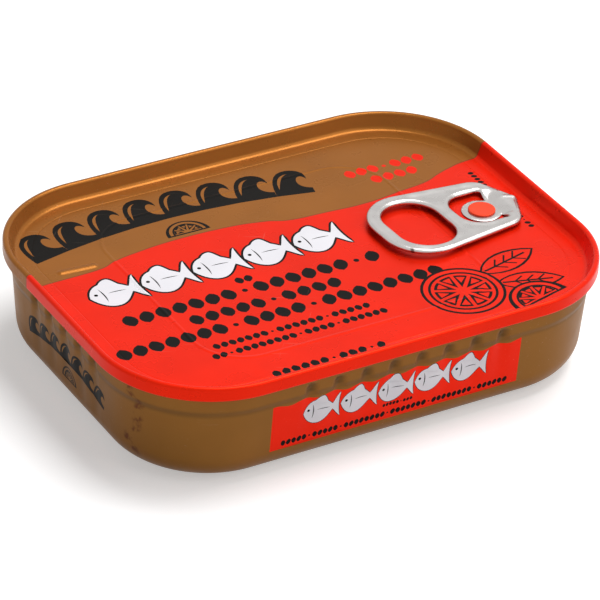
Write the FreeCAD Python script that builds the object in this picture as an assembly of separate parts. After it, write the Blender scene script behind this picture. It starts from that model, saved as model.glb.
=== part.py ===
"""A shut oblong fish tin in three pieces: a drawn can, the easy-open end seamed on to it, and
the ring-pull tab riveted to that end. Millimetres, +Z up, origin at the middle of the base,
+X along the tin towards the tab's nose."""

import FreeCAD, Part
import math
import os

Vector = FreeCAD.Vector

# Overall sizes, over the double seam
LENGTH = 105.0
WIDTH = 79.0
HEIGHT = 22.9
CORNER_RADIUS = 22.6

# Double seam round the top edge
SEAM_HEIGHT = 2.9
SEAM_THICKNESS = 1.3
SEAM_CREST_RADIUS = 0.6
SEAM_FOOT_RADIUS = 0.4

# Wall of the drawn can. Insets are measured inwards from the seam's outline.
NECK_INSET = 1.55
SHOULDER_TOP_DEPTH = 3.1        # below the seam's foot
SHOULDER_HEIGHT = 1.5
SHOULDER_STEP = 0.3
WALL_TAPER = math.radians(4.2)
BASE_RADIUS = 6.0
RIM_THICKNESS = 0.25            # of the wall where it holds the end

# Stiffening bead pressed into the base
BASE_BEAD_INSET = 14.0
BASE_BEAD_WIDTH = 3.0
BASE_BEAD_DEPTH = 0.6

# Upright flutes pressed into the straight walls, deepest at their rounded tops
FLUTE_PITCH = 5.9
FLUTE_RADIUS = 2.6
FLUTE_TOP_DEPTH = 0.5           # how far the top of a flute cuts into the neck
FLUTE_TILT = math.radians(3.3)
FLUTE_LENGTH = 12.0
FLUTE_DROP = 3.0                # of the centre of a flute's round top, below the seam's foot
LONG_SIDE_FLUTES = 8
SHORT_SIDE_FLUTES = 5
LONG_SIDE_FLUTE_SHIFT = 1.4

# Easy-open end
PANEL_DEPTH = 3.3
PANEL_THICKNESS = 0.5
CHUCK_WALL_LEAN = 0.8
CHUCK_WALL_FILLET = 0.6
SCORE_DISTANCE = 2.9            # from the foot of the chuck wall's fillet
SCORE_WIDTH = 0.3
SCORE_DEPTH = 0.12
PANEL_BEAD_LEFT_INSET = 19.7
PANEL_BEAD_RIGHT_INSET = 23.1
PANEL_BEAD_SIDE_INSET = 12.5
PANEL_BEAD_RADIUS = 10.0
PANEL_BEAD_WIDTH = 0.8
PANEL_BEAD_HEIGHT = 0.15
DASH_BEAD_END_DISTANCE = 12.1    # from the left end of the tin
DASH_BEAD_OFFSET = 14.6         # from the tin's middle line
DASH_BEAD_LENGTH = 8.7
DASH_BEAD_RADIUS = 1.0
DASH_BEAD_HEIGHT = 0.5
DASH_BEAD_TURN = -4.4          # degrees about +Z

# Rivet formed from the end's own metal
RIVET_END_DISTANCE = 12.5       # from the right end of the tin
RIVET_OFFSET = -1.2             # from the tin's middle line
RIVET_STEM_RADIUS = 1.7
RIVET_HEAD_RADIUS = 2.7
RIVET_HEAD_THICKNESS = 0.4
RIVET_HEAD_FILLET = 0.2
RIVET_CLEARANCE = 0.05

# Tab. Its own frame has the rivet's axis at x = 0 and the nose towards +X.
TAB_THICKNESS = 1.2
TAB_EDGE_RADIUS = 0.5
RING_METAL = 2.9                # between the finger hole and the ring end
RING_SIDE_METAL = 3.55
RING_CORNER_RADIUS = 8.5
SHOULDER_METAL = 3.0            # beside the slot round the tongue
SHOULDER_CORNER_RADIUS = 5.0
NOSE_METAL = 3.2                # beyond the tongue's ramp
NOSE_RADIUS = 4.0
WEB_METAL = 1.9                 # between the finger hole and the slot
TAB_NOSE_GAP = 0.25              # between the nose and the panel
TAB_TILT = 1.0                  # degrees, ring end up
TAB_TURN = 2.3                  # degrees about the rivet
FINGER_HOLE_LENGTH = 12.6
FINGER_HOLE_WIDTH = 16.7
FINGER_HOLE_RADIUS = 5.5
TONGUE_RADIUS = 4.0
TONGUE_THICKNESS = 0.35
TONGUE_NECK_WIDTH = 5.8
TONGUE_SLOT = 2.4               # between the tongue and the web towards the finger hole
TONGUE_SIDE_SLOT = 1.5
TONGUE_RAMP_START = RIVET_HEAD_RADIUS + RIVET_CLEARANCE
TONGUE_RAMP_RUN = 2.4

RIVET_X = LENGTH / 2 - RIVET_END_DISTANCE
DASH_BEAD_X = DASH_BEAD_END_DISTANCE - LENGTH / 2
TONGUE_RAMP_END = TONGUE_RAMP_START + TONGUE_RAMP_RUN
SLOT_LEFT = -TONGUE_RADIUS - TONGUE_SLOT
SLOT_HALF_WIDTH = TONGUE_RADIUS + TONGUE_SIDE_SLOT
FINGER_HOLE_RIGHT = SLOT_LEFT - WEB_METAL
FINGER_HOLE_LEFT = FINGER_HOLE_RIGHT - FINGER_HOLE_LENGTH
TAB_LEFT = FINGER_HOLE_LEFT - RING_METAL
TAB_NOSE = TONGUE_RAMP_END + NOSE_METAL
PANEL_Z = HEIGHT - PANEL_DEPTH
PANEL_UNDERSIDE_Z = PANEL_Z - PANEL_THICKNESS
SEAM_FOOT_Z = HEIGHT - SEAM_HEIGHT


def arc_through(centre, radius, start_degrees, end_degrees):
    """An arc in a profile's own plane, where x is the inset and y is the height."""
    def point(degrees):
        angle = math.radians(degrees)
        return Vector(centre[0] + radius * math.cos(angle), centre[1] + radius * math.sin(angle), 0)

    middle_degrees = (start_degrees + end_degrees) / 2
    return Part.Arc(point(start_degrees), point(middle_degrees), point(end_degrees))


def closed_profile(pieces):
    """A face from points and arcs in order, with straight lines where they don't meet."""
    edges = []
    first = None
    last = None
    for piece in pieces:
        is_arc = isinstance(piece, Part.Arc)
        start = piece.toShape().valueAt(piece.toShape().FirstParameter) if is_arc else Vector(*piece, 0)
        if first is None:
            first = start
        elif start.distanceToPoint(last) > 1e-7:
            edges.append(Part.LineSegment(last, start).toShape())
        last = start
        if is_arc:
            edges.append(piece.toShape())
            last = edges[-1].valueAt(edges[-1].LastParameter)
    edges.append(Part.LineSegment(last, first).toShape())
    return Part.Face(Part.Wire(edges))


def sweep_around(profile, floor_z, ceiling_z):
    """Carry a profile of inset and height round the tin's outline, and fill the middle from
    floor_z to ceiling_z. The profile reaches from its outer edge to the corner's axis."""
    half_straight_x = LENGTH / 2 - CORNER_RADIUS
    half_straight_y = WIDTH / 2 - CORNER_RADIUS
    upright = profile.copy()
    upright.rotate(Vector(), Vector(1, 0, 0), 90)
    upright.rotate(Vector(), Vector(0, 0, 1), 180)
    upright.translate(Vector(CORNER_RADIUS, 0, 0))
    solids = []
    for quarter in range(4):
        corner = upright.revolve(Vector(), Vector(0, 0, 1), 90)
        corner.rotate(Vector(), Vector(0, 0, 1), 90 * quarter)
        sign_x = 1 if quarter in (0, 3) else -1
        sign_y = 1 if quarter in (0, 1) else -1
        corner.translate(Vector(sign_x * half_straight_x, sign_y * half_straight_y, 0))
        solids.append(corner)
        straight = half_straight_x if quarter % 2 else half_straight_y
        side = upright.extrude(Vector(0, 2 * straight, 0))
        side.translate(Vector(half_straight_y if quarter % 2 else half_straight_x, -straight, 0))
        side.rotate(Vector(), Vector(0, 0, 1), 90 * quarter)
        solids.append(side)
    middle = Part.makeBox(2 * half_straight_x, 2 * half_straight_y, ceiling_z - floor_z)
    middle.translate(Vector(-half_straight_x, -half_straight_y, floor_z))
    solids.append(middle)
    return solids[0].multiFuse(solids[1:]).removeSplitter()


def rounded_outline(corners):
    """A closed wire round (x, y, radius) corners, anticlockwise, in the plane z = 0."""
    count = len(corners)
    arcs = []
    for index, (x, y, radius) in enumerate(corners):
        here = Vector(x, y, 0)
        before = Vector(*corners[index - 1][:2], 0) - here
        after = Vector(*corners[(index + 1) % count][:2], 0) - here
        before.normalize()
        after.normalize()
        half_angle = before.getAngle(after) / 2
        bisector = before + after
        bisector.normalize()
        reach = radius / math.tan(half_angle)
        centre = here + bisector * (radius / math.sin(half_angle))
        arcs.append(Part.Arc(here + before * reach, centre - bisector * radius, here + after * reach))
    edges = []
    for index, arc in enumerate(arcs):
        following = arcs[(index + 1) % count]
        edges.append(arc.toShape())
        if arc.EndPoint.distanceToPoint(following.StartPoint) > 1e-6:
            edges.append(Part.LineSegment(arc.EndPoint, following.StartPoint).toShape())
    return Part.Wire(edges)


def plate(corners, thickness):
    return Part.Face(rounded_outline(corners)).extrude(Vector(0, 0, thickness))


def box_corners(left, right, half_width, radius):
    return [
        (left, -half_width, radius),
        (right, -half_width, radius),
        (right, half_width, radius),
        (left, half_width, radius),
    ]


def half_space_below(z):
    return Part.makeBox(2 * LENGTH, 2 * LENGTH, LENGTH, Vector(-LENGTH, -LENGTH, z - LENGTH))


def can_profile():
    """Half section of the can, solid to the middle, with a shallow seat for the end."""
    shoulder_top = SEAM_FOOT_Z - SHOULDER_TOP_DEPTH
    shoulder_foot = shoulder_top - SHOULDER_HEIGHT
    wall_inset = NECK_INSET + SHOULDER_STEP
    slope = math.tan(WALL_TAPER)
    centre_inset = wall_inset + slope * (shoulder_foot - BASE_RADIUS) + BASE_RADIUS / math.cos(WALL_TAPER)
    base_arc = arc_through(
        (centre_inset, BASE_RADIUS), BASE_RADIUS, 180 + math.degrees(WALL_TAPER), 270)
    bead_end = BASE_BEAD_INSET + BASE_BEAD_WIDTH
    return closed_profile([
        (CORNER_RADIUS, PANEL_UNDERSIDE_Z),
        (NECK_INSET + RIM_THICKNESS, PANEL_UNDERSIDE_Z),
        (NECK_INSET + RIM_THICKNESS, SEAM_FOOT_Z),
        (NECK_INSET, SEAM_FOOT_Z),
        (NECK_INSET, shoulder_top),
        (wall_inset, shoulder_foot),
        base_arc,
        (BASE_BEAD_INSET, 0),
        (BASE_BEAD_INSET + BASE_BEAD_DEPTH, BASE_BEAD_DEPTH),
        (bead_end - BASE_BEAD_DEPTH, BASE_BEAD_DEPTH),
        (bead_end, 0),
        (CORNER_RADIUS, 0),
    ])


def flute_cutter():
    """A round bar with a ball at its top end, leaning into a wall whose face is at x = 0."""
    bar = Part.makeCylinder(FLUTE_RADIUS, FLUTE_LENGTH, Vector(), Vector(0, 0, -1))
    ball = Part.makeSphere(FLUTE_RADIUS)
    cutter = bar.fuse(ball)
    cutter.rotate(Vector(), Vector(0, 1, 0), math.degrees(FLUTE_TILT))
    cutter.translate(Vector(FLUTE_RADIUS - FLUTE_TOP_DEPTH, 0, SEAM_FOOT_Z - FLUTE_DROP))
    return cutter


def flute_row(count, shift, wall_distance, turn_degrees):
    """Flutes side by side on one wall, which faces turn_degrees round from +X."""
    row = []
    for index in range(count):
        cutter = flute_cutter()
        along = (index - (count - 1) / 2) * FLUTE_PITCH
        cutter.translate(Vector(wall_distance, along, 0))
        cutter.rotate(Vector(), Vector(0, 0, 1), turn_degrees)
        cutter.translate(Vector(shift, 0, 0))
        row.append(cutter)
    return row


def make_body():
    body = sweep_around(can_profile(), 0, PANEL_UNDERSIDE_Z)
    long_wall = WIDTH / 2 - NECK_INSET
    short_wall = LENGTH / 2 - NECK_INSET
    flutes = []
    for turn in (90, 270):
        flutes += flute_row(LONG_SIDE_FLUTES, LONG_SIDE_FLUTE_SHIFT, long_wall, turn)
    for turn in (0, 180):
        flutes += flute_row(SHORT_SIDE_FLUTES, 0, short_wall, turn)
    return body.cut(Part.makeCompound(flutes))


def end_profile():
    """Half section of the easy-open end: seam, chuck wall, fillet, score and panel."""
    lip = NECK_INSET + RIM_THICKNESS
    chuck_top = HEIGHT - SEAM_CREST_RADIUS
    chuck_foot_inset = SEAM_THICKNESS + CHUCK_WALL_LEAN
    fillet_centre = (chuck_foot_inset + CHUCK_WALL_FILLET, PANEL_Z + CHUCK_WALL_FILLET)
    score = fillet_centre[0] + SCORE_DISTANCE
    return closed_profile([
        (CORNER_RADIUS, PANEL_UNDERSIDE_Z),
        (lip, PANEL_UNDERSIDE_Z),
        (lip, SEAM_FOOT_Z),
        arc_through((SEAM_FOOT_RADIUS, SEAM_FOOT_Z + SEAM_FOOT_RADIUS), SEAM_FOOT_RADIUS, 270, 180),
        arc_through((SEAM_CREST_RADIUS, chuck_top), SEAM_CREST_RADIUS, 180, 90),
        arc_through((SEAM_THICKNESS - SEAM_CREST_RADIUS, chuck_top), SEAM_CREST_RADIUS, 90, 0),
        arc_through(fillet_centre, CHUCK_WALL_FILLET, 180, 270),
        (score - SCORE_WIDTH / 2, PANEL_Z),
        (score, PANEL_Z - SCORE_DEPTH),
        (score + SCORE_WIDTH / 2, PANEL_Z),
        (CORNER_RADIUS, PANEL_Z),
    ])


def panel_bead():
    """The low ridge that frames the middle of the panel."""
    def pad(inside):
        left = PANEL_BEAD_LEFT_INSET - LENGTH / 2 + inside
        right = LENGTH / 2 - PANEL_BEAD_RIGHT_INSET - inside
        half_width = WIDTH / 2 - PANEL_BEAD_SIDE_INSET - inside
        return plate(box_corners(left, right, half_width, PANEL_BEAD_RADIUS - inside), PANEL_BEAD_HEIGHT)

    ridge = pad(0).cut(pad(PANEL_BEAD_WIDTH))
    ridge.translate(Vector(0, 0, PANEL_Z))
    return ridge


def dash_bead():
    """The short raised dash at the left of the panel, a half-sunk bar with round ends."""
    half = DASH_BEAD_LENGTH / 2 - DASH_BEAD_RADIUS
    dash = Part.makeCylinder(DASH_BEAD_RADIUS, 2 * half, Vector(-half, 0, 0), Vector(1, 0, 0))
    for end in (-half, half):
        dash = dash.fuse(Part.makeSphere(DASH_BEAD_RADIUS, Vector(end, 0, 0)))
    sunk = PANEL_Z + DASH_BEAD_HEIGHT - DASH_BEAD_RADIUS
    dash.rotate(Vector(), Vector(0, 0, 1), DASH_BEAD_TURN)
    dash.translate(Vector(DASH_BEAD_X, DASH_BEAD_OFFSET, sunk))
    return dash.cut(half_space_below(PANEL_Z))


def rivet():
    """Stem through the tab's tongue and a flat button over it."""
    stem = Part.makeCylinder(RIVET_STEM_RADIUS, TONGUE_THICKNESS, Vector(RIVET_X, RIVET_OFFSET, PANEL_Z))
    head_base = Vector(RIVET_X, RIVET_OFFSET, PANEL_Z + TONGUE_THICKNESS)
    head = Part.makeCylinder(RIVET_HEAD_RADIUS, RIVET_HEAD_THICKNESS, head_base)
    middle_z = head_base.z + RIVET_HEAD_THICKNESS / 2
    top_edges = [edge for edge in head.Edges if edge.BoundBox.ZMin > middle_z]
    return stem.fuse(head.makeFillet(RIVET_HEAD_FILLET, top_edges))


def make_end():
    end = sweep_around(end_profile(), PANEL_UNDERSIDE_Z, PANEL_Z)
    return end.multiFuse([panel_bead(), dash_bead(), rivet()]).removeSplitter()


def tab_frame():
    """The tab's flat ring and web: a plate with rolled edges round both openings."""
    ring_half_width = FINGER_HOLE_WIDTH / 2 + RING_SIDE_METAL
    shoulder_half_width = SLOT_HALF_WIDTH + SHOULDER_METAL
    outline = [
        (TAB_LEFT, -ring_half_width, RING_CORNER_RADIUS),
        (TONGUE_RAMP_END, -shoulder_half_width, SHOULDER_CORNER_RADIUS),
        (TAB_NOSE, 0, NOSE_RADIUS),
        (TONGUE_RAMP_END, shoulder_half_width, SHOULDER_CORNER_RADIUS),
        (TAB_LEFT, ring_half_width, RING_CORNER_RADIUS),
    ]
    hole = box_corners(FINGER_HOLE_LEFT, FINGER_HOLE_RIGHT, FINGER_HOLE_WIDTH / 2, FINGER_HOLE_RADIUS)
    slot = box_corners(SLOT_LEFT, TONGUE_RAMP_START + TAB_EDGE_RADIUS, SLOT_HALF_WIDTH, TONGUE_RADIUS)
    frame = plate(outline, TAB_THICKNESS)
    frame = frame.cut(plate(hole, TAB_THICKNESS)).cut(plate(slot, TAB_THICKNESS))
    flat_edges = [edge for edge in frame.Edges if edge.BoundBox.ZLength < TAB_THICKNESS / 2]
    return frame.makeFillet(TAB_EDGE_RADIUS, flat_edges)


def tab_tongue():
    """The thin round tongue under the rivet's head, bent up into the nose."""
    nose_top = TAB_NOSE_GAP + TAB_THICKNESS - TAB_EDGE_RADIUS
    side = Part.Face(Part.makePolygon([
        Vector(-TONGUE_RADIUS, 0, 0),
        Vector(TONGUE_RAMP_START, 0, 0),
        Vector(TONGUE_RAMP_END, 0, nose_top - TONGUE_THICKNESS),
        Vector(TONGUE_RAMP_END, 0, nose_top),
        Vector(TONGUE_RAMP_START, 0, TONGUE_THICKNESS),
        Vector(-TONGUE_RADIUS, 0, TONGUE_THICKNESS),
        Vector(-TONGUE_RADIUS, 0, 0),
    ]))
    band = side.extrude(Vector(0, 2 * TONGUE_RADIUS, 0))
    band.translate(Vector(0, -TONGUE_RADIUS, 0))
    plan = Part.makeCylinder(TONGUE_RADIUS, TAB_THICKNESS * 2, Vector(0, 0, -TAB_THICKNESS / 2))
    neck = Part.makeBox(
        TONGUE_RAMP_END, TONGUE_NECK_WIDTH, TAB_THICKNESS * 2,
        Vector(0, -TONGUE_NECK_WIDTH / 2, -TAB_THICKNESS / 2))
    tongue = band.common(plan.fuse(neck))
    hole = Part.makeCylinder(RIVET_STEM_RADIUS + RIVET_CLEARANCE, TAB_THICKNESS)
    return tongue.cut(hole)


def make_tab():
    frame = tab_frame()
    frame.translate(Vector(-TAB_NOSE, 0, TAB_NOSE_GAP))
    frame.rotate(Vector(0, 0, TAB_NOSE_GAP), Vector(0, 1, 0), TAB_TILT)
    frame.translate(Vector(TAB_NOSE, 0, 0))
    tab = frame.fuse(tab_tongue()).removeSplitter()
    tab.rotate(Vector(), Vector(0, 0, 1), TAB_TURN)
    tab.translate(Vector(RIVET_X, RIVET_OFFSET, PANEL_Z))
    return tab


def single_solid(shape):
    assert len(shape.Solids) == 1, "a piece must be one solid"
    return shape.Solids[0]


def main():
    os.makedirs("parts", exist_ok=True)
    pieces = {"body": make_body(), "lid": make_end(), "tab": make_tab()}
    for name, shape in pieces.items():
        solid = single_solid(shape)
        assert solid.isValid(), name
        solid.exportStep(os.path.join("parts", name + ".step"))
        box = solid.BoundBox
        print(name, round(solid.Volume, 1), [round(value, 2) for value in (
            box.XMin, box.XMax, box.YMin, box.YMax, box.ZMin, box.ZMax)])


main()
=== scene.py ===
"""Looks of a shut oblong fish tin with a ring-pull lid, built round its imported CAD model.

Sizes are in millimetres and meshes are made in metres. The part's frame is +X along the tin
towards the tab's nose, +Z up, with the origin at the middle of the base. The print on the tin
is plain fields of colour and simple motifs: wave crests, fish, citrus slices and leaf shapes."""

import math
import random

import bmesh
import bpy
import numpy as np
from mathutils import Matrix, Vector
from mathutils.geometry import delaunay_2d_cdt


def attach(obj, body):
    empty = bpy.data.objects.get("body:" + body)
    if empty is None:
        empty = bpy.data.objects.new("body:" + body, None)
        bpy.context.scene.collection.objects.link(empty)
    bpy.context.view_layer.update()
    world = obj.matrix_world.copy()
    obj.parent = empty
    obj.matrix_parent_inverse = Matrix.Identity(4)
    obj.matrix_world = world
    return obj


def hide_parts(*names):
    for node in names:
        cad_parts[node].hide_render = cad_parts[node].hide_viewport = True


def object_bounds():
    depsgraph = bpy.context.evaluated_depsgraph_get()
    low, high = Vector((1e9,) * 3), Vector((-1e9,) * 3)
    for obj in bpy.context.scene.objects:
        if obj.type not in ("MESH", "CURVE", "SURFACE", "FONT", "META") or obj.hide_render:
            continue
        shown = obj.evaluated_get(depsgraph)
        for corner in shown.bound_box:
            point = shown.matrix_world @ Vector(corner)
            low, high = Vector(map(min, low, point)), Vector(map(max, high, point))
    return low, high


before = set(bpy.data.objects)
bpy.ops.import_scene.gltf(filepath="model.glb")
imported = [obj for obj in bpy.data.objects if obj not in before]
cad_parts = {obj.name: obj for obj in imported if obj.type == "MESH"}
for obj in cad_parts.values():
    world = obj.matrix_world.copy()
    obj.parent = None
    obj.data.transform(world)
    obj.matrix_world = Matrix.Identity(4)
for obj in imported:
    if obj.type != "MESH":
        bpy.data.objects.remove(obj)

MM = 0.001
cad_low, cad_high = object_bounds()
HALF_LENGTH = cad_high.x / MM
HALF_WIDTH = cad_high.y / MM
HEIGHT = cad_high.z / MM

# Outline of the double seam, and the tin's straight stretches between its corners
CORNER_RADIUS = 22.6
STRAIGHT_X = HALF_LENGTH - CORNER_RADIUS
STRAIGHT_Y = HALF_WIDTH - CORNER_RADIUS
CORNER_STEPS = 48
STRAIGHT_STEP = 0.4

# Double seam and the sunk panel
SEAM_FOOT_Z = HEIGHT - 2.9
SEAM_THICKNESS = 1.3
SEAM_CREST_RADIUS = 0.6
SEAM_FOOT_RADIUS = 0.4
PANEL_Z = HEIGHT - 3.3
PANEL_THICKNESS = 0.5
CHUCK_WALL_FOOT_INSET = 1.95
CHUCK_WALL_FILLET = 1.1
PANEL_INSET = CHUCK_WALL_FOOT_INSET + CHUCK_WALL_FILLET

# Drawn wall
NECK_INSET = 1.55
SHOULDER_TOP_Z = SEAM_FOOT_Z - 3.1
SHOULDER_FOOT_Z = SHOULDER_TOP_Z - 1.5
SHOULDER_STEP = 0.3
WALL_TAPER = math.radians(4.2)
BASE_RADIUS = 6.0
BASE_BEAD_INSET = 14.0
BASE_BEAD_HALF_WIDTH = 1.5
BASE_BEAD_DEPTH = 0.6

# Flutes: how deep and how wide each one is at a few heights
FLUTE_PITCH = 5.9
LONG_SIDE_FLUTES = 8
SHORT_SIDE_FLUTES = 5
LONG_SIDE_FLUTE_SHIFT = 1.4
FLUTE_HEIGHTS = (4.0, 5.0, 10.0, 14.6, 15.6, 16.4, 17.2, 18.0, 18.6, 18.9)
FLUTE_DEPTHS = (0.0, 0.06, 0.16, 0.28, 0.46, 0.64, 0.70, 0.55, 0.22, 0.0)
FLUTE_HALF_WIDTHS = (2.6, 2.6, 2.6, 2.4, 2.1, 1.9, 1.8, 1.6, 1.3, 1.0)

# Pressed detail of the panel
SCORE_INSET = 5.6
SCORE_HALF_WIDTH = 0.2
SCORE_DEPTH = 0.05
PANEL_BEAD_LEFT = -32.8
PANEL_BEAD_RIGHT = 29.4
PANEL_BEAD_HALF_WIDTH = 27.0
PANEL_BEAD_CORNER = 10.0
PANEL_BEAD_RIDGE = 0.6
PANEL_BEAD_HEIGHT = 0.08
DASH_X = -40.4
DASH_Y = 14.6
DASH_LENGTH = 8.9
DASH_RADIUS = 1.1
DASH_HEIGHT = 0.26
DASH_TURN = math.radians(-4.4)

# Rivet
RIVET_X = 40.0
RIVET_Y = -1.2
RIVET_STEM_RADIUS = 1.7
RIVET_HEAD_RADIUS = 2.7
RIVET_HEAD_BASE = 0.35
RIVET_HEAD_TOP = 0.75
RIVET_EDGE_RADIUS = 0.2
RIVET_DISH = 0.06

# Inks, as places in each printed piece's list of materials
LACQUER, DARK, WHITE, RED = range(4)


# ---------- meshes

def add_piece(name, points, faces, materials, inks=None, normals=None):
    """A shown piece from points in millimetres, riding on the part's only body."""
    mesh = bpy.data.meshes.new(name)
    mesh.from_pydata([tuple(c * MM for c in p) for p in points], [], [tuple(f) for f in faces])
    for material in materials:
        mesh.materials.append(material)
    mesh.polygons.foreach_set("use_smooth", [True] * len(mesh.polygons))
    if inks is not None:
        mesh.polygons.foreach_set("material_index", inks)
    mesh.update()
    if normals is not None:
        mesh.normals_split_custom_set_from_vertices([tuple(n) for n in normals])
    piece = bpy.data.objects.new(name, mesh)
    bpy.context.scene.collection.objects.link(piece)
    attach(piece, "root")
    return piece


def tin_stations():
    """Round the seam's outline: point, outward direction, side name and place along that side."""
    sides = [
        ("right", (HALF_LENGTH, 0), (1, 0), STRAIGHT_Y),
        ("back", (0, HALF_WIDTH), (0, 1), STRAIGHT_X),
        ("left", (-HALF_LENGTH, 0), (-1, 0), STRAIGHT_Y),
        ("front", (0, -HALF_WIDTH), (0, -1), STRAIGHT_X),
    ]
    stations = []
    for number, (side, middle, out, half) in enumerate(sides):
        along = (-out[1], out[0])
        count = int(round(2 * half / STRAIGHT_STEP))
        for place in np.linspace(-half, half, count + 1):
            point = (middle[0] + along[0] * place, middle[1] + along[1] * place)
            stations.append((point, out, side, float(place)))
        corner = (point[0] - out[0] * CORNER_RADIUS, point[1] - out[1] * CORNER_RADIUS)
        for step in range(1, CORNER_STEPS):
            angle = math.radians(90 * number) + math.pi / 2 * step / CORNER_STEPS
            turn = (math.cos(angle), math.sin(angle))
            spot = (corner[0] + CORNER_RADIUS * turn[0], corner[1] + CORNER_RADIUS * turn[1])
            stations.append((spot, turn, "corner", 0.0))
    return stations


STATIONS = tin_stations()
OUTLINE = np.array([station[0] for station in STATIONS])
OUTWARD = np.array([station[1] for station in STATIONS])


def ring_at(inset):
    return OUTLINE - OUTWARD * inset


def side_range(side):
    """First and last station of a straight side."""
    numbers = [i for i, station in enumerate(STATIONS) if station[2] == side]
    return numbers[0], numbers[-1]


def arc(centre, radius, start, end, steps):
    """Profile points on an arc, as (inset, height), with angles in degrees."""
    points = []
    for angle in np.radians(np.linspace(start, end, steps + 1)):
        points.append((centre[0] + radius * math.cos(angle), centre[1] + radius * math.sin(angle)))
    return points


def profile_normals(profile):
    """Unit normals of an (inset, height) profile, on its left as it is followed."""
    points = np.array(profile)
    before = np.vstack([points[:1], points[:-1]])
    after = np.vstack([points[1:], points[-1:]])
    tangent = after - before
    tangent /= np.linalg.norm(tangent, axis=1)[:, None]
    return np.stack([-tangent[:, 1], tangent[:, 0]], axis=1)


def signed_area(loop):
    """Twice the area, positive when the loop runs anticlockwise."""
    return sum(a[0] * b[1] - b[0] * a[1] for a, b in zip(loop, loop[1:] + loop[:1]))


def strip(row, count):
    """Faces between one ring of vertices and the next, which holds as many."""
    low, high = row * count, (row + 1) * count
    return [(low + i, low + (i + 1) % count, high + (i + 1) % count, high + i) for i in range(count)]


def cut_regions(outline, spare, shapes, seams=()):
    """Triangles over a convex outline, cut along every shape. Each gets the ink of the last
    shape that holds it. Spare points and seams, which are closed loops, only add vertices."""
    points = [Vector(p) for p in outline]
    faces = [list(range(len(outline)))]
    points += [Vector(p) for p in spare]
    inks = [LACQUER]
    edges = []
    for loop in seams:
        first = len(points)
        points += [Vector(p) for p in loop]
        edges += [(first + i, first + (i + 1) % len(loop)) for i in range(len(loop))]
    for ink, loop in shapes:
        first = len(points)
        points += [Vector(p) for p in (loop if signed_area(loop) > 0 else loop[::-1])]
        faces.append(list(range(first, len(points))))
        inks.append(ink)
    found = delaunay_2d_cdt(points, edges, faces, 0, 1e-5, True)
    triangle_inks = [inks[max(held)] if held else LACQUER for held in found[5]]
    return found[0], found[2], triangle_inks, found[3]


# ---------- motifs

def bezier(start, *segments, steps=8):
    """Points along cubic segments; each segment is (control, control, end)."""
    points = [start]
    for a, b, end in segments:
        p = np.array([points[-1], a, b, end], float)
        for t in np.linspace(0, 1, steps + 1)[1:]:
            weights = np.array([(1 - t) ** 3, 3 * t * (1 - t) ** 2, 3 * t * t * (1 - t), t ** 3])
            points.append(tuple(weights @ p))
    return points


def grown(loop, distance):
    """The loop moved outwards by a distance."""
    p = np.array(loop, float)
    edge_in = p - np.roll(p, 1, axis=0)
    edge_out = np.roll(p, -1, axis=0) - p
    edge_in /= np.linalg.norm(edge_in, axis=1)[:, None] + 1e-12
    edge_out /= np.linalg.norm(edge_out, axis=1)[:, None] + 1e-12
    tangent = edge_in + edge_out
    length = np.maximum(np.linalg.norm(tangent, axis=1), 0.9)
    tangent /= length[:, None]
    outward = np.stack([tangent[:, 1], -tangent[:, 0]], axis=1) * (1 if signed_area(loop) > 0 else -1)
    return [tuple(q) for q in p + outward * distance]


def placed(shapes, x, y, angle=0.0):
    c, s = math.cos(angle), math.sin(angle)
    return [(ink, [(x + c * px - s * py, y + s * px + c * py) for px, py in loop])
            for ink, loop in shapes]


def motif(width, height, start, *segments):
    """A bezier whose points are given as shares of a width and a height."""
    def sized(point):
        return point[0] * width, point[1] * height
    return bezier(sized(start), *[[sized(point) for point in segment] for segment in segments])


def disc(x, y, radius, steps=40):
    angles = [2 * math.pi * i / steps for i in range(steps)]
    return [(x + radius * math.cos(a), y + radius * math.sin(a)) for a in angles]


def wave_crest(width, height):
    """A curling wave on a low swell, with a line of foam cut out along its back."""
    crest = motif(
        width, height,
        (0, 0),
        ((-0.02, 0.42), (0.10, 1), (0.56, 1)),
        ((0.86, 1), (1.02, 0.82), (0.97, 0.56)),
        ((0.93, 0.70), (0.80, 0.76), (0.72, 0.64)),
        ((0.62, 0.48), (0.70, 0.24), (1, 0.20)),
        ((1, 0.13), (1, 0.06), (1, 0)),
    )
    foam = motif(
        width, height,
        (0.15, 0.26),
        ((0.14, 0.56), (0.26, 0.84), (0.54, 0.86)),
        ((0.34, 0.78), (0.26, 0.54), (0.15, 0.26)),
    )[:-1]
    return [(DARK, crest), (LACQUER, foam)]


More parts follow.
